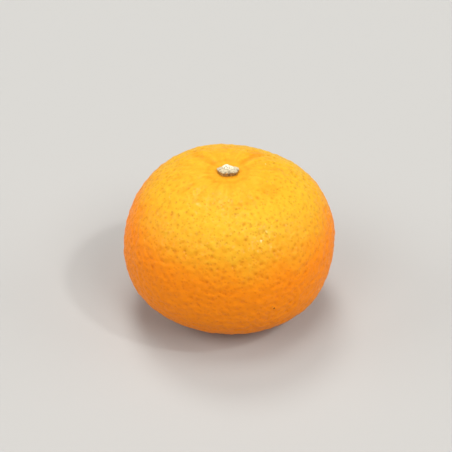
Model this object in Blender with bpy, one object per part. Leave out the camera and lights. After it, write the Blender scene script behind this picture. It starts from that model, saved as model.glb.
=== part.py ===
"""Mandarin: a flattened round fruit in its rind, its dried calyx and the woody stub of its stem.

Metres, +Z up. The fruit rests on its flat spot at z = 0, and the origin lies under the middle of
its outline. The stem stands a little off that middle, as it does on a grown fruit.
"""

import math

import bmesh
import bpy
from mathutils import Vector

# Fruit: an upper and a lower profile that meet at the widest ring
FRUIT_RADIUS = 0.0320
CROWN_RISE = 0.0262  # widest ring up to the crown
BASE_DROP = 0.0223  # widest ring down to the base, before the base flattens
CROWN_FULLNESS = (2.60, 1.95)  # outward, upward: 2 is an ellipse, more is squarer
BASE_FULLNESS = (2.40, 2.25)
REST_FLATTENING = 0.0004  # height lost where the base is pressed flat
FRUIT_STEPS = 80
FRUIT_RINGS = 38
CROWN_BUNCHING = 1.4  # above 1, rings lie closer together towards the crown
PROFILE_SAMPLES = 400  # fine points that the even ring spacing is read from

# Low swells and hollows of the grown fruit: (azimuth, height angle, rise in metres)
SWELL_SPREAD = math.radians(24)
SWELLS = (
    (9, 12, 0.0008),
    (31, 34, 0.0005),
    (66, 50, -0.0004),
    (114, 50, 0.0004),
    (171, 12, -0.0006),
    (246, -50, -0.0004),
    (294, -50, 0.0003),
    (329, -34, 0.0010),
    (351, -12, -0.0004),
)

# Seat of the calyx, and the furrows that run out from it: (azimuth, half width, depth in metres)
SEAT_DEPTH = 0.0009
SEAT_FLOOR_RADIUS = 0.0038
SEAT_RIM_RADIUS = 0.0085
FURROW_START = 0.0030  # radii from the stem where a furrow begins, is deepest and has faded
FURROW_DEEPEST = 0.0075
FURROW_END = 0.0210
FURROWS = (
    (12, 7, 0.00022),
    (50, 8, 0.00050),
    (92, 7, 0.00018),
    (134, 7, 0.00032),
    (160, 6, 0.00018),
    (186, 6, 0.00026),
    (211, 6, 0.00034),
    (234, 7, 0.00030),
    (258, 7, 0.00018),
    (290, 8, 0.00014),
    (325, 8, 0.00022),
)

# Button: the calyx and the stub in it. Its top leans back, so that it is higher towards -Y.
GAP = 0.0003  # between pieces that touch
BUTTON_LEAN = math.tan(math.radians(14))
BUTTON_DEPTH_SHARE = 0.88  # it is narrower along Y than along X

# Calyx: a ring with a foot, and an overhanging rim of five blunt lobes
CALYX_HEIGHT = 0.0011
CALYX_BORE_RADIUS = 0.0015
CALYX_FOOT = ((0.0027, 0.0), (0.00275, 0.00045))
CALYX_RIM = ((0.0032, 0.00062), (0.0033, 0.0009), (0.0030, CALYX_HEIGHT))
CALYX_LOBES = 5
CALYX_LOBE_RISE = 0.09  # lobe height, as a share of the radius
CALYX_STEPS = 60

# Stem stub: a peg in the calyx's bore, with a low domed head above it
STUB_PEG_RADIUS = 0.0012
STUB_HEAD_RADIUS = 0.0017
STUB_HEAD_HEIGHT = 0.00025
STUB_DOME_RISE = 0.00025
STUB_DOME_RINGS = 4
STUB_STEPS = 48

MERGE_DISTANCE = 1e-6
SHARP_ANGLE = math.radians(50)

# Linear base colour, roughness
RIND_FINISH = ((0.86, 0.25, 0.012), 0.42)
CALYX_FINISH = ((0.34, 0.20, 0.085), 0.85)
STUB_FINISH = ((0.72, 0.62, 0.40), 0.80)


def clear_scene():
    for obj in list(bpy.data.objects):
        bpy.data.objects.remove(obj, do_unlink=True)


def smooth_step(low, high, value):
    share = min(max((value - low) / (high - low), 0.0), 1.0)
    return share * share * (3 - 2 * share)


def principled(name, finish):
    colour, roughness = finish
    material = bpy.data.materials.new(name)
    material.use_nodes = True
    shader = material.node_tree.nodes["Principled BSDF"]
    shader.inputs["Base Color"].default_value = (*colour, 1.0)
    shader.inputs["Roughness"].default_value = roughness
    shader.inputs["Metallic"].default_value = 0.0
    return material


def new_object(name, shape, material):
    mesh = bpy.data.meshes.new(name)
    shape.to_mesh(mesh)
    shape.free()
    mesh.shade_smooth()
    mesh.set_sharp_from_angle(angle=SHARP_ANGLE)
    mesh.materials.append(material)
    obj = bpy.data.objects.new(name, mesh)
    bpy.context.scene.collection.objects.link(obj)
    return obj


def turned(profile, steps, closed=False):
    """Turns a profile of (radius, height) points about Z. An open one ends on the axis."""
    shape = bmesh.new()
    points = [shape.verts.new((radius, 0, height)) for radius, height in profile]
    edges = [shape.edges.new(pair) for pair in zip(points, points[1:])]
    if closed:
        edges.append(shape.edges.new((points[-1], points[0])))
    bmesh.ops.spin(
        shape,
        geom=points + edges,
        cent=(0, 0, 0),
        axis=(0, 0, 1),
        angle=math.tau,
        steps=steps,
        use_merge=True,
    )
    bmesh.ops.remove_doubles(shape, verts=shape.verts, dist=MERGE_DISTANCE)
    bmesh.ops.recalc_face_normals(shape, faces=shape.faces)
    return shape


def fruit_point(angle):
    """Point of the profile at an angle above the widest ring, seen from the middle of that ring."""
    outward, upward = CROWN_FULLNESS if angle >= 0 else BASE_FULLNESS
    reach = CROWN_RISE if angle >= 0 else BASE_DROP
    radius = FRUIT_RADIUS * abs(math.cos(angle)) ** (2 / outward)
    height = math.copysign(reach * abs(math.sin(angle)) ** (2 / upward), angle)
    return radius, height


def fruit_profile():
    """Rings from the base to the crown, spaced by arc length and closer towards the crown."""
    fine = [
        fruit_point(math.pi * (k / PROFILE_SAMPLES - 0.5))
        for k in range(PROFILE_SAMPLES + 1)
    ]
    lengths = [0.0]
    for near, far in zip(fine, fine[1:]):
        lengths.append(lengths[-1] + math.dist(near, far))
    rings = []
    sample = 0
    for k in range(1, FRUIT_RINGS):
        along = lengths[-1] * (1 - (1 - k / FRUIT_RINGS) ** CROWN_BUNCHING)
        while lengths[sample + 1] < along:
            sample += 1
        share = (along - lengths[sample]) / (lengths[sample + 1] - lengths[sample])
        rings.append(Vector(fine[sample]).lerp(Vector(fine[sample + 1]), share))
    return [(0, -BASE_DROP), *rings, (0, CROWN_RISE)]


def direction(azimuth, height_angle):
    azimuth, height_angle = math.radians(azimuth), math.radians(height_angle)
    flat = math.cos(height_angle)
    return Vector((flat * math.cos(azimuth), flat * math.sin(azimuth), math.sin(height_angle)))


def swell(point, swells):
    """Rise of the skin at a point, as a share of its distance from the middle."""
    rise = sum(
        height * math.exp(-((point.angle(towards) / SWELL_SPREAD) ** 2))
        for towards, height in swells
    )
    return rise / FRUIT_RADIUS


def furrow_depth(radius, azimuth):
    fade = smooth_step(FURROW_START, FURROW_DEEPEST, radius)
    fade *= 1 - smooth_step(FURROW_DEEPEST, FURROW_END, radius)
    depth = 0.0
    for middle, half_width, deepest in FURROWS:
        away = (azimuth - middle + 180) % 360 - 180
        depth += deepest * math.exp(-((away / half_width) ** 2))
    return fade * depth


def sculpt_fruit(shape):
    """Moves the turned body's points: swells, then the seat and its furrows, then the flat spot."""
    swells = [(direction(azimuth, angle), rise) for azimuth, angle, rise in SWELLS]
    for vert in shape.verts:
        vert.co *= 1 + swell(vert.co, swells)
        radius = math.hypot(vert.co.x, vert.co.y)
        if vert.co.z > 0:
            azimuth = math.degrees(math.atan2(vert.co.y, vert.co.x))
            seat = 1 - smooth_step(SEAT_FLOOR_RADIUS, SEAT_RIM_RADIUS, radius)
            vert.co.z -= SEAT_DEPTH * seat + furrow_depth(radius, azimuth)
        vert.co.z = max(vert.co.z + BASE_DROP - REST_FLATTENING, 0.0)


def middle_of(shape):
    """Middle of the outline seen from above."""
    across = [vert.co.x for vert in shape.verts]
    along = [vert.co.y for vert in shape.verts]
    return Vector(((min(across) + max(across)) / 2, (min(along) + max(along)) / 2, 0))


def fruit():
    """The whole fruit. Also returns the point of the seat's floor that the stem grows from."""
    shape = turned(fruit_profile(), FRUIT_STEPS)
    sculpt_fruit(shape)
    middle = middle_of(shape)
    bmesh.ops.translate(shape, verts=shape.verts, vec=-middle)
    floor = [
        vert.co.z
        for vert in shape.verts
        if (vert.co + middle).xy.length < SEAT_FLOOR_RADIUS and vert.co.z > CROWN_RISE
    ]
    stem_base = Vector((-middle.x, -middle.y, max(floor)))
    return new_object("fruit", shape, principled("waxy_rind", RIND_FINISH)), stem_base


def lean_back(shape, lean):
    """Narrows a piece of the button along Y, then adds the lean, a rise for each point."""
    bmesh.ops.scale(shape, verts=shape.verts, vec=(1, BUTTON_DEPTH_SHARE, 1))
    for vert in shape.verts:
        vert.co.z -= lean(vert.co) * vert.co.y * BUTTON_LEAN


def calyx():
    """Its foot stands level on the seat and its top leans, so it is a wedge seen from the side."""
    bore = ((CALYX_BORE_RADIUS, CALYX_HEIGHT), (CALYX_BORE_RADIUS, 0))
    shape = turned((*CALYX_FOOT, *CALYX_RIM, *bore), CALYX_STEPS, closed=True)
    for vert in shape.verts:
        if vert.co.xy.length > CALYX_FOOT[-1][0] + GAP / 2:
            lobe = math.cos(CALYX_LOBES * math.atan2(vert.co.y, vert.co.x))
            vert.co.xy *= 1 + CALYX_LOBE_RISE * lobe
    lean_back(shape, lambda point: point.z / CALYX_HEIGHT)
    return new_object("calyx", shape, principled("dried_calyx", CALYX_FINISH))


def stem_stub():
    """Peg with a level foot, under a domed head that leans with the calyx."""
    head_low = CALYX_HEIGHT + GAP
    head_edge = head_low + STUB_HEAD_HEIGHT
    dome = []
    for ring in range(STUB_DOME_RINGS):
        turn = math.pi / 2 * ring / STUB_DOME_RINGS
        height = head_edge + STUB_DOME_RISE * math.sin(turn)
        dome.append((STUB_HEAD_RADIUS * math.cos(turn), height))
    peg = ((0, 0), (STUB_PEG_RADIUS, 0), (STUB_PEG_RADIUS, head_low))
    top = (0, head_edge + STUB_DOME_RISE)
    shape = turned((*peg, (STUB_HEAD_RADIUS, head_low), *dome, top), STUB_STEPS)
    lean_back(shape, lambda point: min(point.z / head_low, 1))
    return new_object("stem_stub", shape, principled("stem_wood", STUB_FINISH))


def main():
    clear_scene()
    body, stem_base = fruit()
    for piece in (calyx(), stem_stub()):
        piece.parent = body
        piece.location = stem_base + Vector((0, 0, GAP))


main()
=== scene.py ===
import math
import random

import bmesh
import bpy
import numpy as np
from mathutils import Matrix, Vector, noise
from mathutils.bvhtree import BVHTree
from mathutils.kdtree import KDTree


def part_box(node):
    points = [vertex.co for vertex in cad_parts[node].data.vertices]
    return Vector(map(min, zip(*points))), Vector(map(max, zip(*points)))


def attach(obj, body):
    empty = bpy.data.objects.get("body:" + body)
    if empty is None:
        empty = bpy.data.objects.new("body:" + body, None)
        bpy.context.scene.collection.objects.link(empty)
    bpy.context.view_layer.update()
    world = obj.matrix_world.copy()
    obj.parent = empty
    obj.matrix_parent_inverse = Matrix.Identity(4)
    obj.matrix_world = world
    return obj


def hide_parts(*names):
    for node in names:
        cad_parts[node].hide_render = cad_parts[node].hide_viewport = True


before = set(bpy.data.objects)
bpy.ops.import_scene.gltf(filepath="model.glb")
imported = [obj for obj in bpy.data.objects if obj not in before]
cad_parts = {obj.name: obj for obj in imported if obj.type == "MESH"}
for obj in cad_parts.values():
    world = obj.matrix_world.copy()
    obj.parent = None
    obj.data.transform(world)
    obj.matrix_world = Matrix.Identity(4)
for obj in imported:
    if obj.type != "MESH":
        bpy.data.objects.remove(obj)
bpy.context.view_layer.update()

mm = 0.001
mergeDistance = 0.001 * mm


def linearColour(hexCode):
    # sRGB hex to the linear RGBA that a shader takes
    parts = [int(hexCode[k:k + 2], 16) / 255 for k in (1, 3, 5)]
    return [p / 12.92 if p <= 0.04045 else ((p + 0.055) / 1.055) ** 2.4 for p in parts] + [1.0]


def smoothStep(low, high, value):
    share = np.clip((value - low) / (high - low), 0.0, 1.0)
    return share * share * (3 - 2 * share)


def addNode(tree, kind, inputs=None, output=0, **properties):
    # each input takes a value or another node's output; gives back one of its own outputs
    node = tree.nodes.new(kind)
    for name, value in properties.items():
        setattr(node, name, value)
    for name, value in (inputs or {}).items():
        if isinstance(value, bpy.types.NodeSocket):
            tree.links.new(value, node.inputs[name])
        else:
            node.inputs[name].default_value = value
    return node.outputs[output] if node.outputs else None


def newMaterial(name):
    material = bpy.data.materials.new(name)
    material.use_nodes = True
    material.node_tree.nodes.clear()
    return material, material.node_tree


def blobs(tree, place, width, low, high, detail=3.0):
    # soft blobs of a width: 0 where the noise is below low, 1 where it is above high
    settings = {"Vector": place, "Scale": 1 / width, "Detail": detail}
    cloud = addNode(tree, "ShaderNodeTexNoise", settings)
    ramp = {"Value": cloud, "From Min": low, "From Max": high}
    return addNode(tree, "ShaderNodeMapRange", ramp, interpolation_type="SMOOTHSTEP")


def paint(tree, body, coats):
    # lays colours over each other; each coat is a mask, its strength, a colour and how it mixes
    for mask, strength, hexCode, blend in coats:
        share = addNode(tree, "ShaderNodeMath", {0: mask, 1: strength}, operation="MULTIPLY")
        mix = {0: share, 6: body, 7: linearColour(hexCode)}
        body = addNode(tree, "ShaderNodeMix", mix, 2, data_type="RGBA", blend_type=blend)
    return body


def fineBumps(tree, place, grain, detail=3.0, under=None):
    # bumps too small to model, on top of an earlier bump
    width, height = grain
    settings = {"Vector": place, "Scale": 1 / width, "Detail": detail}
    bump = {"Height": addNode(tree, "ShaderNodeTexNoise", settings), "Distance": height}
    if under:
        bump["Normal"] = under
    return addNode(tree, "ShaderNodeBump", bump)


def finishMaterial(tree, settings):
    shader = addNode(tree, "ShaderNodeBsdfPrincipled", settings)
    addNode(tree, "ShaderNodeOutputMaterial", {"Surface": shader})


def meshObject(name, shape, material=None):
    mesh = bpy.data.meshes.new(name)
    shape.to_mesh(mesh)
    shape.free()
    mesh.shade_smooth()
    if material:
        mesh.materials.append(material)
    piece = bpy.data.objects.new(name, mesh)
    bpy.context.scene.collection.objects.link(piece)
    return piece


def pointsOf(mesh, field="co"):
    values = np.empty(len(mesh.vertices) * 3, np.float32)
    mesh.vertices.foreach_get(field, values)
    return values.reshape(-1, 3).astype(float)


def placePoints(mesh, points):
    mesh.vertices.foreach_set("co", points.astype(np.float32).ravel())
    mesh.update()


def storeValues(mesh, name, values):
    layer = mesh.attributes.new(name, "FLOAT", "POINT")
    layer.data.foreach_set("value", values.astype(np.float32))


def noiseAt(points, cell, seed=0.0):
    # smooth noise from -1 to 1 whose blobs are about a cell wide, in metres
    offset = Vector((seed, seed * 1.7, -seed))
    return np.array([noise.noise(Vector(p) / cell + offset) for p in points])


def direction(azimuth, height):
    azimuth, height = math.radians(azimuth), math.radians(height)
    flat = math.cos(height)
    return Vector((flat * math.cos(azimuth), flat * math.sin(azimuth), math.sin(height)))


# places that the rest is worked out from
fruitLow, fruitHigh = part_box("fruit")
stubLow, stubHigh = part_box("stem_stub")
stemAxis = Vector(((stubLow.x + stubHigh.x) / 2, (stubLow.y + stubHigh.y) / 2, 0))
waistShare = 0.458  # height of the widest ring, as a share of the fruit's
seatGap = 0.3 * mm  # gap that the CAD model leaves under the button
waist = Vector((stemAxis.x, stemAxis.y, waistShare * (fruitHigh.z - fruitLow.z)))
seatFloor = stubLow.z - seatGap


rind = {
    "gridCuts": 127,  # cuts on each edge of the cube that is blown up into the skin
    "flatness": 0.78,  # height against width of the rays' directions
    "swell": (9.0 * mm, 0.09 * mm),  # blob width, height
    "ripple": (3.0 * mm, 0.090 * mm),
    "pebble": (1.6 * mm, 0.130 * mm),
    "reliefGain": 1.6,  # the noise seldom gets near 1, so its heights are multiplied
    "glandGap": 1.7 * mm,  # usual distance between oil glands
    "glandGapSpread": (0.85, 1.25),
    "glandRadius": (0.36 * mm, 0.62 * mm),
    "glandSkew": 1.3,  # above 1, more glands are small than large
    "glandFaintest": 0.25,  # strength of the smallest against the largest
    "glandEnd": 2.6,  # distance at which a gland has faded, in radii of the largest
    "glandDepth": 0.22 * mm,
    "creaseCounts": (5.0, 11.0),  # coarse and fine creases for each radian round the button
    "creaseWeight": 0.6,  # share of each kind
    "creaseWidth": 0.7,  # below 1, the ridges between the creases are thinner
    "creaseLength": 14.0 * mm,  # how far a crease runs before it wanders into another
    "creaseDepth": 0.26 * mm,
    "creaseReach": (3.0 * mm, 6.5 * mm, 25.0 * mm),  # radii where they begin, are deepest and end
    "furrowReach": (4.5 * mm, 19.0 * mm),  # radii between which the grown furrows are picked out
    "furrowEdge": (2.0 * mm, 5.0 * mm),  # how softly that zone begins and ends
    "crownDegree": 4,  # of the polynomial that stands for the crown without its furrows
    "furrowDepth": 0.22 * mm,  # how far below its surroundings a furrow is fully coloured
    "scarRadius": 2.4 * mm,  # dimple where the flower's style was
    "scarDepth": 0.55 * mm,
    "scarKnob": (0.35, 0.5),  # width and height of the knob in it, as shares of the dimple's
    "calm": (0.35, 5.0 * mm, 15.0 * mm),  # relief left at the button, and the radii where it grows
    "restFade": 2.0 * mm,  # height over which the relief grows from the resting spot
    "seed": 11,
}


def smoothedNode(nodeName):
    # a CAD node is loose triangles: merged, paired into quads and subdivided, it's a smooth
    # surface that rays can be cast at
    shape = bmesh.new()
    shape.from_mesh(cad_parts[nodeName].data)
    bmesh.ops.remove_doubles(shape, verts=shape.verts, dist=mergeDistance)
    bmesh.ops.join_triangles(
        shape,
        faces=shape.faces,
        angle_face_threshold=math.radians(40),
        angle_shape_threshold=math.radians(60),
    )
    helper = meshObject("helper", shape)
    smoother = helper.modifiers.new("Smooth", "SUBSURF")
    smoother.levels = smoother.render_levels = 2
    bpy.context.view_layer.update()
    surface = BVHTree.FromObject(helper, bpy.context.evaluated_depsgraph_get())
    bpy.data.objects.remove(helper)
    return surface


def wrappedSkin(surface):
    # even quads all over: a cut cube, blown up onto the surface
    skin = bmesh.new()
    bmesh.ops.create_cube(skin, size=2)
    bmesh.ops.subdivide_edges(skin, edges=skin.edges, cuts=rind["gridCuts"], use_grid_fill=True)
    for vert in skin.verts:
        ray = Vector([math.tan(c * math.pi / 4) for c in vert.co])
        ray.z *= rind["flatness"]
        vert.co = surface.ray_cast(waist, ray.normalized())[0]
    bmesh.ops.recalc_face_normals(skin, faces=skin.faces)
    return skin


def glandField(points):
    # oil glands: scattered, each with room round it, most of them faint
    chance = random.Random(rind["seed"])
    tree = KDTree(len(points))
    for k, point in enumerate(points):
        tree.insert(point, k)
    tree.balance()
    order = list(range(len(points)))
    chance.shuffle(order)
    free = bytearray(b"\1") * len(points)
    field = np.zeros(len(points))
    count = 0
    small, large = rind["glandRadius"]
    faintest = rind["glandFaintest"]
    for k in order:
        if not free[k]:
            continue
        count += 1
        size = chance.random() ** rind["glandSkew"]
        radius = small + (large - small) * size
        strength = faintest + (1 - faintest) * size
        gap = rind["glandGap"] * chance.uniform(*rind["glandGapSpread"])
        for _, near, away in tree.find_range(points[k], rind["glandEnd"] * large):
            if away < gap:
                free[near] = 0
            field[near] = max(field[near], strength * math.exp(-((away / radius) ** 2)))
    print("glands:", count)
    return field


def aroundStem(points):
    # each point's offset and distance from the stem's axis, seen from above
    across = points[:, :2] - np.array(stemAxis.xy)
    return across, np.hypot(across[:, 0], across[:, 1])


def creaseField(points):
    # fine creases that run out from the button, from 0 to about 1: noise that is read along a
    # circle, so that it repeats nowhere and has no seam
    across, radius = aroundStem(points)
    start, deepest, end = rind["creaseReach"]
    fade = smoothStep(start, deepest, radius) * (1 - smoothStep(deepest, end, radius))
    fade *= points[:, 2] > waist.z
    turn = across / np.maximum(radius, mergeDistance)[:, None]
    along = radius[:, None] / rind["creaseLength"]
    creases = np.zeros(len(points))
    for kind, count in enumerate(rind["creaseCounts"]):
        ridges = noiseAt(np.hstack([turn * count, along]), 1.0, 4.0 + kind)
        creases += rind["creaseWeight"] * np.abs(ridges) ** rind["creaseWidth"]
    return fade * creases


def furrowField(points):
    # how deep a point lies in the fruit's furrows: the crown without them is close to a low
    # polynomial of x and y, so what is left below that is furrow
    across, radius = aroundStem(points)
    near, far = rind["furrowReach"]
    x, y = across.T / far
    upper = points[:, 2] > waist.z
    crown = (radius > near) & (radius < far) & upper
    degree = rind["crownDegree"]
    powers = [(i, j) for i in range(degree + 1) for j in range(degree + 1 - i)]
    terms = np.stack([x**i * y**j for i, j in powers], 1)
    best = np.linalg.lstsq(terms[crown], points[crown, 2], rcond=None)[0]
    below = np.clip((terms @ best - points[:, 2]) / rind["furrowDepth"], 0.0, 1.0)
    begin, end = rind["furrowEdge"]
    edge = smoothStep(near, near + begin, radius) * (1 - smoothStep(far - end, far, radius))
    return below * edge * upper


def makeRind():
    surface = smoothedNode("fruit")
    piece = meshObject("rind", wrappedSkin(surface))
    mesh = piece.data
    points, normals = pointsOf(mesh), pointsOf(mesh, "normal")
    print("rind:", len(points), "points")

    glands = glandField(points)
    creases = creaseField(points)
    furrows = furrowField(points)
    relief = np.zeros(len(points))
    for layer, name in enumerate(("swell", "ripple", "pebble")):
        cell, height = rind[name]
        relief += rind["reliefGain"] * height * noiseAt(points, cell, 10.0 * layer)
    relief -= rind["glandDepth"] * glands
    fromStem = aroundStem(points)[1]
    left, near, far = rind["calm"]
    crown = points[:, 2] > waist.z
    relief *= 1 - crown * (1 - left) * (1 - smoothStep(near, far, fromStem))
    relief -= rind["creaseDepth"] * creases
    relief *= smoothStep(0.0, rind["restFade"], points[:, 2])

    # the style's scar, a dimple under the fruit with a small knob in it
    scar = ~crown * np.exp(-((fromStem / rind["scarRadius"]) ** 2))
    width, height = rind["scarKnob"]
    knob = ~crown * np.exp(-((fromStem / (width * rind["scarRadius"])) ** 2))
    relief -= rind["scarDepth"] * (scar - height * knob)

    points += normals * relief[:, None]
    points[:, 2] = np.maximum(points[:, 2], 0.0)
    placePoints(mesh, points)
    storeValues(mesh, "gland", glands)
    storeValues(mesh, "crease", creases)
    storeValues(mesh, "furrow", furrows)
    storeValues(mesh, "scar", scar)
    towards = [direction(azimuth, height) for azimuth, height, _, _ in rindFinish["marks"]]
    markSpots = [surface.ray_cast(waist, way)[0] for way in towards]
    mesh.materials.append(rindMaterial(markSpots))
    return piece


# Citrus rind: waxy skin over oil glands. It glows a little, its gloss is broad and broken up,
# each gland has a dot of painted shade over its dimple, and the crown is golden: partly the
# rind's own yellower colour, partly painted light on the top that faces the lamps.
rindFinish = {
    "orange": "#F0860D",
    "golden": "#DCAC27",
    "pale": "#E2B834",  # thin patches near the crown
    "deep": "#E0700A",  # darker orange: random mottle, and painted shade in the creases, the furrows and the ring round the button
    "shadow": "#D6B27A",  # painted shade that a gland's or a pit's dimple puts on the colour round it
    "scar": "#A4732E",
    "glandShade": (0.38, 0.60),  # in the orange, in the golden crown
    "glandEdge": 1.4,  # above 1, the dots are smaller than the dimples
    "glandReach": (5.0 * mm, 17.0 * mm),  # distances from the stem where dots begin and are full
    "creaseShade": 0.50,
    "furrowShade": 0.45,
    "ringShade": 0.40,
    "ringRadius": (2.6 * mm, 6.5 * mm),  # where the ring round the button is full and has faded
    # the gold is partly the rind's own colour and partly painted light, lighter where the top
    # faces the lamps
    "goldenHeight": (26.0 * mm, 45.0 * mm),  # where the gold begins and is full
    "goldenTilt": 0.075,  # the border lies lower towards +X
    "goldenBow": 3.5,  # and climbs to both sides, which leaves painted shade on the flanks: metres for each square metre of X
    "goldenWander": (4.0 * mm, 7.0 * mm),  # how far that border wanders up and down, blob width
    "patch": (3.2 * mm, 0.50, 0.72),  # blob width, noise levels where they begin and are full
    "patchShare": 0.32,
    "mottle": (1.3 * mm, 0.42, 0.68),
    "mottleShare": 0.17,
    "scarEdge": 5.0,  # above 1, the brown is smaller than the dimple
    "roughness": 0.50,
    "specular": 0.09,
    "glow": 0.04,  # light that goes into the skin and comes out beside
    "glowReach": 0.6 * mm,
    "glowColour": (1.0, 0.35, 0.08),  # how far each of red, green and blue gets, against that
    "wax": (0.015, 1.0),  # coat in general, and on the smooth specks that glint
    "waxRoughness": 0.10,
    "waxSpeck": (0.30 * mm, 0.60, 0.70),
    "waxReach": (9.0 * mm, 16.0 * mm),  # distances from the stem where specks begin and are full
    "pits": (1.10 * mm, 0.075 * mm, 0.60),  # spacing and depth of the fine pits, how dark their painted shade is
    "pitWall": (0.08, 0.42),  # where a pit's wall begins and ends, in spacings from its middle
    "grain": (0.50 * mm, 0.032 * mm),  # width and height of the finest bumps, drawn coarse to show
    "markCore": 0.4,  # the part of a mark's radius that is fully coloured
    # small marks: azimuth and height angle from the waist, radius, colour
    "marks": (
        (-65.6, -3.4, 0.36 * mm, "#3A1E04"),
        (-66.6, -2.0, 0.25 * mm, "#C88A30"),
        (22.6, 64.5, 0.32 * mm, "#FFF0A8"),
        (-31.5, -9.6, 0.36 * mm, "#FFDF9C"),
        (118.0, 21.0, 0.40 * mm, "#8A5A18"),
        (163.0, -14.0, 0.30 * mm, "#6B430F"),
        (61.0, 9.0, 0.45 * mm, "#F6CF7A"),
    ),
}


def goldenLevel(tree, place, x, z):
    # height in the golden crown: the border wanders, tilts and climbs to both sides
    reach, blob = rindFinish["goldenWander"]
    settings = {"Vector": place, "Scale": 1 / blob, "Detail": 5.0}
    clouds = addNode(tree, "ShaderNodeTexNoise", settings)
    square = addNode(tree, "ShaderNodeMath", {0: x, 1: x}, operation="MULTIPLY")
    level = addNode(tree, "ShaderNodeMath", {0: z, 1: -reach}, operation="ADD")
    terms = (
        (clouds, 2 * reach),
        (x, rindFinish["goldenTilt"]),
        (square, -rindFinish["goldenBow"]),
    )
    for value, factor in terms:
        settings = {0: value, 1: factor, 2: level}
        level = addNode(tree, "ShaderNodeMath", settings, operation="MULTIPLY_ADD")
    return level


def rindMaterial(markSpots):
    look = rindFinish
    material, tree = newMaterial("mandarin rind, waxy")
    place = addNode(tree, "ShaderNodeTexCoord", output="Object")
    x, z = (addNode(tree, "ShaderNodeSeparateXYZ", {"Vector": place}, axis) for axis in "XZ")
    gland, crease, furrow, scar = (
        addNode(tree, "ShaderNodeAttribute", output="Fac", attribute_name=name)
        for name in ("gland", "crease", "furrow", "scar")
    )
    shift = {"Location": (-stemAxis.x, -stemAxis.y, 0.0), "Scale": (1.0, 1.0, 0.0)}
    centred = addNode(tree, "ShaderNodeMapping", {"Vector": place, **shift})
    fromStem = addNode(tree, "ShaderNodeVectorMath", {0: centred}, "Value", operation="LENGTH")
    spacing, depth, darkness = look["pits"]
    cells = addNode(tree, "ShaderNodeTexVoronoi", {"Vector": place, "Scale": 1 / spacing})

    # smooth ramps: what is measured, then where the ramp is 0 and where it is 1
    level = goldenLevel(tree, place, x, z)
    spans = [
        (level, *look["goldenHeight"]),
        (fromStem, *reversed(look["ringRadius"])),
        (z, waist.z, seatFloor),
        (fromStem, *look["glandReach"]),
        (fromStem, *look["waxReach"]),
        (cells, *look["pitWall"]),
        (cells, *reversed(look["pitWall"])),
    ]
    for (_, _, size, _), spot in zip(look["marks"], markSpots):
        ends = {0: place, 1: spot}
        away = addNode(tree, "ShaderNodeVectorMath", ends, "Value", operation="DISTANCE")
        spans.append((away, size, look["markCore"] * size))
    ramps = [
        addNode(
            tree,
            "ShaderNodeMapRange",
            {"Value": value, "From Min": low, "From Max": high},
            interpolation_type="SMOOTHSTEP",
        )
        for value, low, high in spans
    ]
    golden, ring, upper, spotted, glinting, walls, pits, *marks = ramps

    # products of two of them, and edges that are sharpened by a power
    patches = blobs(tree, place, *look["patch"])
    specks = blobs(tree, place, *look["waxSpeck"], 1.0)
    least, most = look["glandShade"]
    settings = {0: golden, 1: most - least, 2: least}
    shade = addNode(tree, "ShaderNodeMath", settings, operation="MULTIPLY_ADD")
    patches, ring, shade, specks = (
        addNode(tree, "ShaderNodeMath", {0: first, 1: second}, operation="MULTIPLY")
        for first, second in (
            (patches, golden), (ring, upper), (shade, spotted), (specks, glinting)
        )
    )
    pitShade = addNode(tree, "ShaderNodeMath", {0: shade, 1: darkness}, operation="MULTIPLY")
    dots, brown = (
        addNode(tree, "ShaderNodeMath", {0: value, 1: power}, operation="POWER")
        for value, power in ((gland, look["glandEdge"]), (scar, look["scarEdge"]))
    )

    coats = [
        # golden crown: partly the rind's own colour, partly painted light on the top
        (golden, 1.0, look["golden"], "MIX"),
        (patches, look["patchShare"], look["pale"], "MIX"),
        (blobs(tree, place, *look["mottle"]), look["mottleShare"], look["deep"], "MIX"),
        # painted shade in the creases, the furrows and the ring round the button
        (crease, look["creaseShade"], look["deep"], "MIX"),
        (furrow, look["furrowShade"], look["deep"], "MIX"),
        (ring, look["ringShade"], look["deep"], "MIX"),
        # painted shade in each gland's dimple
        (dots, shade, look["shadow"], "MULTIPLY"),
        (brown, 1.0, look["scar"], "MIX"),
        # painted shade in the fine pits
        (pits, pitShade, look["shadow"], "MULTIPLY"),
    ]
    coats += [(mark, 1.0, look["marks"][k][3], "MIX") for k, mark in enumerate(marks)]
    pitBump = addNode(tree, "ShaderNodeBump", {"Height": walls, "Distance": depth})
    bump = fineBumps(tree, place, look["grain"], 2.0, pitBump)
    # most of the wax is dull, and small smooth specks of it glint
    dull, smooth = look["wax"]
    settings = {0: specks, 1: smooth - dull, 2: dull}
    finishMaterial(
        tree,
        {
            "Base Color": paint(tree, linearColour(look["orange"]), coats),
            "Roughness": look["roughness"],
            "IOR": 1.45,
            "Specular IOR Level": look["specular"],
            "Subsurface Weight": look["glow"],
            "Subsurface Radius": look["glowColour"],
            "Subsurface Scale": look["glowReach"],
            "Coat Weight": addNode(tree, "ShaderNodeMath", settings, operation="MULTIPLY_ADD"),
            "Coat Roughness": look["waxRoughness"],
            "Normal": bump,
            "Coat Normal": bump,
        },
    )
    return material


skin = makeRind()
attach(skin, "root")
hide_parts("fruit")
print("rind made")


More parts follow.
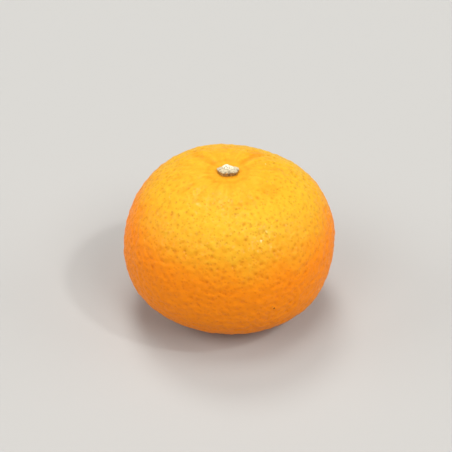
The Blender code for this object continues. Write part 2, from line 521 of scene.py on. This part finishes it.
button = {
    "lean": 16,  # degrees that the button's top leans back
    "depthShare": 0.88,  # it is narrower along Y than along X
    "top": 1.1 * mm,  # rim's height above the seat
    # from the foot, over the rim and down into the middle: radius, height
    "profile": (
        (2.50, -0.25), (2.88, -0.02), (2.96, 0.14), (2.94, 0.28), (3.02, 0.40), (3.14, 0.52),
        (3.20, 0.66), (3.12, 0.82), (2.90, 0.96), (2.55, 1.10), (2.15, 1.22), (1.85, 1.28),
        (1.62, 1.20), (1.52, 0.80), (1.50, 0.10),
    ),
    "steps": 75,
    "lobes": 5,
    "lobeTurn": 24,  # azimuth of the first lobe, in degrees
    "lobeRise": 0.045,  # as a share of the radius
    "droop": 0.06 * mm,  # how far the lobes' tips hang down
    "droopHeight": (0.2 * mm, 0.5 * mm),  # heights where the droop begins and is full
    "rim": (2.0 * mm, 3.1 * mm),  # radii between which the rim's shape takes over
    "rimRadius": 3.0 * mm,
    "cleft": (6, 0.30 * mm, 0.5 * mm),  # narrowness and depth between the lobes, height where full
    "ragged": (0.9 * mm, 0.16 * mm),  # blob width, depth of the rim's uneven edge
    "fibre": (0.38 * mm, 0.15 * mm),  # spacing and height of the ridges that run out to the rim
    "fibreRadius": 2.6 * mm,  # where they have that spacing
    "fibreLength": 5.0 * mm,
    "crumple": (0.60 * mm, 0.13 * mm),
    "footFade": (-0.25 * mm, 0.10 * mm),  # heights between which the relief grows
    "topSlope": (0.2, 0.75),  # how level the skin is where the paler top, partly painted light, begins and is full
    "crevice": (0.16 * mm, 0.2, 0.7),  # full depth, depth share left without shade, share of painted shade in the clefts
}


def standInSeat(mesh, points):
    # narrows a piece of the button along Y, leans all above its foot, and stands it on the crown
    points[:, 1] *= button["depthShare"]
    share = np.clip(points[:, 2] / button["top"], 0.0, 1.0)
    points[:, 2] -= share * points[:, 1] * math.tan(math.radians(button["lean"]))
    points += np.array((stemAxis.x, stemAxis.y, seatFloor))
    placePoints(mesh, points)


def turnedShape(profile, steps, closed=True):
    # turns a line of (radius, height) points about Z, and fills any hole that is left
    shape = bmesh.new()
    line = [shape.verts.new((radius, 0.0, height)) for radius, height in profile]
    edges = [shape.edges.new(pair) for pair in zip(line, line[1:])]
    bmesh.ops.spin(
        shape,
        geom=line + edges,
        cent=(0, 0, 0),
        axis=(0, 0, 1),
        angle=math.tau,
        steps=steps,
        use_merge=True,
    )
    bmesh.ops.remove_doubles(shape, verts=shape.verts, dist=mergeDistance)
    if closed:
        openEdges = [edge for edge in shape.edges if edge.is_boundary]
        bmesh.ops.holes_fill(shape, edges=openEdges, sides=0)
    bmesh.ops.recalc_face_normals(shape, faces=shape.faces)
    return shape


def turnedPiece(name, settings):
    # a profile in millimetres, turned and made twice as fine; smooth rounds its corners
    profile = [(radius * mm, height * mm) for radius, height in settings["profile"]]
    shape = turnedShape(profile, settings["steps"])
    bmesh.ops.subdivide_edges(shape, edges=shape.edges, cuts=1, use_grid_fill=True, smooth=0.6)
    return meshObject(name, shape)


def makeCalyx():
    piece = turnedPiece("calyx_dried", button)
    mesh = piece.data
    points, normals = pointsOf(mesh), pointsOf(mesh, "normal")
    radius = np.hypot(points[:, 0], points[:, 1])
    turn = np.arctan2(points[:, 1], points[:, 0])

    # five blunt lobes with clefts between them, then a ragged rim
    outer = smoothStep(*button["rim"], radius)
    lobe = np.cos(button["lobes"] * (turn - math.radians(button["lobeTurn"])))
    points[:, :2] *= (1 + outer * button["lobeRise"] * lobe)[:, None]
    width, depth = button["ragged"]
    uneven = depth / button["rimRadius"] * noiseAt(points, width, 5.0)
    points[:, :2] *= (1 + outer * uneven)[:, None]
    narrowness, cleftDepth, cleftHeight = button["cleft"]
    cleft = outer * np.clip(-lobe, 0.0, 1.0) ** narrowness

    # ridges that run out to the rim, and a crumpled surface between them
    spacing, height = button["fibre"]
    along = radius / button["fibreLength"]
    around = np.stack([np.cos(turn), np.sin(turn), along], 1) * button["fibreRadius"]
    width, depth = button["crumple"]
    crumple = noiseAt(points, width, 15.0) + 0.5 * noiseAt(points, width / 2, 25.0)
    relief = height * noiseAt(around, spacing, 8.0) + depth * crumple
    relief *= smoothStep(*button["footFade"], points[:, 2])
    points += normals * relief[:, None]
    points[:, 2] -= cleftDepth * cleft * smoothStep(0.0, cleftHeight, points[:, 2])
    hang = smoothStep(*button["droopHeight"], points[:, 2])
    points[:, 2] -= button["droop"] * outer * lobe * hang
    standInSeat(mesh, points)

    # painted shade in the crevices and the clefts
    full, unshaded, cleftShade = button["crevice"]
    # paler where the skin faces up: partly the dried calyx's own colour, partly painted light
    storeValues(mesh, "top", smoothStep(*button["topSlope"], normals[:, 2]))
    storeValues(mesh, "crevice", np.clip(-relief / full - unshaded, 0.0, 1.0) + cleftShade * cleft)
    mesh.materials.append(woodyMaterial("calyx, dried and corky", calyxFinish, calyxCoats))
    return piece


# Dried calyx: corky, pale on top (partly its own dried colour, partly painted light), tan and
# brown under the rim, with painted shade in its creases
calyxFinish = {
    "top": "#CFC19E",
    "tan": "#CCA45E",
    "brown": "#80601F",
    # colour of the painted shade in the crevices and the clefts
    "creviceShade": "#4A2E10",
    "grey": "#857B66",
    # blob width, then the noise levels where the blobs begin and are full
    "speck": (0.42 * mm, 0.48, 0.62),
    "stain": (0.70 * mm, 0.35, 0.70),
    "speckShare": 0.60,
    "creviceShadeShare": 0.85,
    "roughness": 0.85,
    "grain": (0.16 * mm, 0.03 * mm),
}


def woodyMaterial(name, look, coatsOf):
    # matt material of the dried pieces; coatsOf gives its coats of paint
    material, tree = newMaterial(name)
    place = addNode(tree, "ShaderNodeTexCoord", output="Object")
    body, coats = coatsOf(tree, place, look)
    finishMaterial(
        tree,
        {
            "Base Color": paint(tree, body, coats),
            "Roughness": look["roughness"],
            "Normal": fineBumps(tree, place, look["grain"]),
        },
    )
    return material


def calyxCoats(tree, place, look):
    top, crevice = (
        addNode(tree, "ShaderNodeAttribute", output="Fac", attribute_name=name)
        for name in ("top", "crevice")
    )
    return linearColour(look["tan"]), (
        (blobs(tree, place, *look["stain"]), 1.0, look["brown"], "MIX"),
        # pale top: partly its own colour, partly painted light where the skin faces up
        (top, 1.0, look["top"], "MIX"),
        (blobs(tree, place, *look["speck"]), look["speckShare"], look["grey"], "MIX"),
        # painted shade in the crevices and the clefts
        (crevice, look["creviceShadeShare"], look["creviceShade"], "MIX"),
    )


stem = {
    # from the foot in the calyx, over the broken end to its middle: radius, height
    "profile": (
        (0.0, 0.0), (1.10, 0.0), (1.30, 0.35), (1.42, 0.95), (1.60, 1.25), (1.68, 1.45),
        (1.60, 1.66), (1.42, 1.82), (1.15, 1.95), (0.85, 2.05), (0.55, 2.12), (0.28, 2.16),
        (0.0, 2.17),
    ),
    "steps": 60,
    "crown": (-0.72 * mm, 0.05 * mm, 1.35 * mm, 0.62 * mm),  # x, y, radius and height of its peak
    "head": (1.2 * mm, 1.6 * mm),  # heights between which the broken head begins
    "headSink": 0.30 * mm,  # how far it has dried down into the calyx
    "splinter": (0.30 * mm, 0.11 * mm),  # spacing, height
    "splinterStretch": (1.0, 0.45, 0.6),
    "fold": (0.75 * mm, 0.13 * mm),
    "footFade": (0.5 * mm, 1.2 * mm),  # heights between which the relief grows
    "crevice": 0.10 * mm,  # depth at which a crevice is fully dark
}


def makeStem():
    piece = turnedPiece("stem_end", stem)
    mesh = piece.data
    points, normals = pointsOf(mesh), pointsOf(mesh, "normal")
    head = smoothStep(*stem["head"], points[:, 2])
    x, y, radius, height = stem["crown"]
    fromPeak = np.hypot(points[:, 0] - x, points[:, 1] - y)
    peak = head * np.exp(-((fromPeak / radius) ** 2))
    spacing, depth = stem["splinter"]
    splinters = depth * noiseAt(points * np.array(stem["splinterStretch"]), spacing, 31.0)
    width, tall = stem["fold"]
    folds = tall * noiseAt(points, width, 41.0)
    relief = (splinters + folds) * smoothStep(*stem["footFade"], points[:, 2])
    points += normals * relief[:, None]
    points[:, 2] += height * peak - stem["headSink"] * head
    standInSeat(mesh, points)
    storeValues(mesh, "peak", peak)
    storeValues(mesh, "crevice", np.clip(-relief / stem["crevice"], 0.0, 1.0))
    mesh.materials.append(woodyMaterial("stem wood, broken off and dry", stemFinish, stemCoats))
    return piece


# Broken stem end: dry pith and fibres; the peak is nearly white, partly its pale pith and partly a
# painted highlight
stemFinish = {
    # pale pith with a painted highlight, at the peak
    "pithAndHighlight": "#FFFAE0",
    "wood": "#EFE3C2",
    "bark": "#8F7448",
    "shade": "#6E5228",
    "fibre": (0.22 * mm, 0.48, 0.66),  # width, noise levels where they begin and are full
    "fibreStretch": (1.0, 0.4, 0.5),
    "fibreShare": 0.35,
    "shadeShare": 0.70,
    "roughness": 0.8,
    "grain": (0.14 * mm, 0.03 * mm),
}


def stemCoats(tree, place, look):
    scale = {"Vector": place, "Scale": look["fibreStretch"]}
    stretched = addNode(tree, "ShaderNodeMapping", scale)
    peak, crevice = (
        addNode(tree, "ShaderNodeAttribute", output="Fac", attribute_name=name)
        for name in ("peak", "crevice")
    )
    return linearColour(look["wood"]), (
        # painted highlight over the pale pith at the peak
        (peak, 1.0, look["pithAndHighlight"], "MIX"),
        (blobs(tree, stretched, *look["fibre"]), look["fibreShare"], look["bark"], "MIX"),
        (crevice, look["shadeShare"], look["shade"], "MIX"),
    )


driedCalyx = makeCalyx()
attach(driedCalyx, "root")
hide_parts("calyx")
print("calyx made")

stemEnd = makeStem()
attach(stemEnd, "root")
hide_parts("stem_stub")
print("stem made")


# Big soft lamps: azimuth, height, strength, apparent size in degrees
studio = {
    "floor": "#B2B0AC",
    "floorRadius": 2.6,
    "sweepRise": 0.8,  # the floor curves up round the edge, so that no horizon shows
    "sweepSteps": 12,
    "floorSteps": 64,
    "sky": ("#F2F5F8", 0.25),
    "lamps": {
        "back light": (105, 62, 1.12, 20),
        "top light": (0, 89, 0.92, 26),
        "front right light": (-50, 45, 0.92, 24),
        "front left light": (-130, 45, 0.72, 30),
        "left light": (180, 25, 0.95, 40),
        "right light": (0, 25, 0.70, 40),
        "glint light": (-27, 52, 0.68, 5),
    },
}


def makeFloor():
    radius, rise = studio["floorRadius"], studio["sweepRise"]
    steps = studio["sweepSteps"]
    turns = [math.pi / 2 * k / steps for k in range(steps + 1)]
    sweep = [(radius + rise * math.sin(turn), rise * (1 - math.cos(turn))) for turn in turns]
    shape = turnedShape([(0.0, 0.0), *sweep], studio["floorSteps"], closed=False)
    # painted matt, so that it takes shadows and shows no reflections
    material, tree = newMaterial("studio floor, matt paint")
    colour = linearColour(studio["floor"])
    finishMaterial(tree, {"Base Color": colour, "Roughness": 0.9, "Specular IOR Level": 0.2})
    floor = meshObject("floor", shape, material)


def addSun(name, azimuth, height, strength, size):
    lamp = bpy.data.lights.new(name, "SUN")
    lamp.energy = strength
    lamp.angle = math.radians(size)
    sun = bpy.data.objects.new(name, lamp)
    sun.rotation_euler = direction(azimuth, height).to_track_quat("Z", "Y").to_euler()
    bpy.context.scene.collection.objects.link(sun)


def makeStudio():
    makeFloor()
    for name, settings in studio["lamps"].items():
        addSun(name, *settings)
    world = bpy.data.worlds.new("studio")
    bpy.context.scene.world = world
    world.use_nodes = True
    colour, strength = studio["sky"]
    background = world.node_tree.nodes["Background"]
    background.inputs["Color"].default_value = linearColour(colour)
    background.inputs["Strength"].default_value = strength
    bpy.context.scene.view_settings.view_transform = "Standard"


view = {
    "distance": 0.350,
    "height": 37.5,  # degrees above the fruit's waist
    "fieldOfView": 22.2,
    "aim": (-0.6 * mm, 0.0, 5.6 * mm),  # from the waist's centre
}


def makeCamera():
    lens = bpy.data.cameras.new("camera")
    lens.angle = math.radians(view["fieldOfView"])
    camera = bpy.data.objects.new("camera", lens)
    camera.location = waist + view["distance"] * direction(-90, view["height"])
    aim = waist + Vector(view["aim"]) - camera.location
    camera.rotation_euler = aim.to_track_quat("-Z", "Y").to_euler()
    bpy.context.scene.collection.objects.link(camera)
    bpy.context.scene.camera = camera


makeStudio()
makeCamera()
print("studio made")
